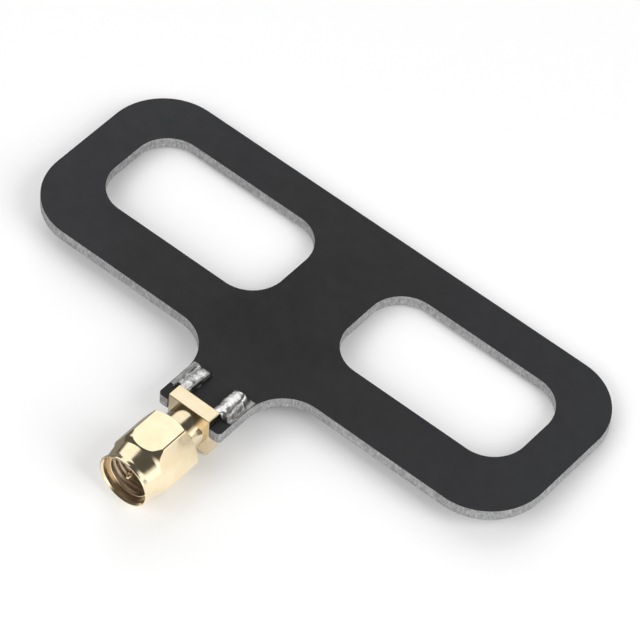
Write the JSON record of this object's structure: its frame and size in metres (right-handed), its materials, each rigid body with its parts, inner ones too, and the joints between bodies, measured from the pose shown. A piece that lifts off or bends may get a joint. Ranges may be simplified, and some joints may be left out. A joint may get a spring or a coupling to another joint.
{
  "type": "circuit-board loop antenna",
  "caption": "Flat T-shaped circuit-board antenna with double-loop windows and a soldered gold coaxial plug whose hexagon coupling nut spins on its barrel.",
  "frame": {"origin": "on the plug's axis, in the plane where its contact sleeve meets a socket", "axes": "-Y out of the plug, +X along the board's long side, +Z out of the board face that has no feed line"},
  "size_m": [0.0764, 0.0499, 0.008],
  "materials": {
    "laminate": "routed grey glass-fibre laminate",
    "copper": "bare copper under the masks",
    "solder_mask": "matt black solder mask",
    "tin": "levelled tin on copper",
    "solder": "bright hand-made solder",
    "gold_plate": "bright gold plate on turned brass",
    "insulator": "white fluoropolymer",
    "spring_steel": "spring steel",
    "gasket": "red silicone"
  },
  "bodies": {
    "board": {"board_core": "laminate", "top_copper": "copper", "feed_line": "copper", "bottom_ground_left": "copper", "bottom_ground_right": "copper", "ground_via_left_front": "copper", "ground_via_left_rear": "copper", "ground_via_right_front": "copper", "ground_via_right_rear": "copper", "feed_via": "copper", "top_mask": "solder_mask", "bottom_mask": "solder_mask", "top_pad_left": "tin", "top_pad_right": "tin", "bottom_pad_left": "tin", "bottom_pad_right": "tin", "feed_pad": "tin", "solder_top_left": "solder", "solder_top_right": "solder", "solder_bottom_left": "solder", "solder_bottom_right": "solder", "solder_feed": "solder", "plug_body": "gold_plate", "centre_pin": "gold_plate", "insulator": "insulator", "gasket": "gasket"},
    "ring": {"retaining_ring": "spring_steel"},
    "nut": {"coupling_nut": "gold_plate"}
  },
  "joints": [
    {"name": "nut_float", "type": "slide", "parent": "board", "child": "ring", "axis": [0, -1, 0], "range_m": [-0.00015, 0.00015]},
    {"name": "nut_spin", "type": "hinge", "parent": "ring", "child": "nut", "pos_m": [0, 0.004, 0], "axis": [0, -1, 0], "continuous": true}
  ]
}
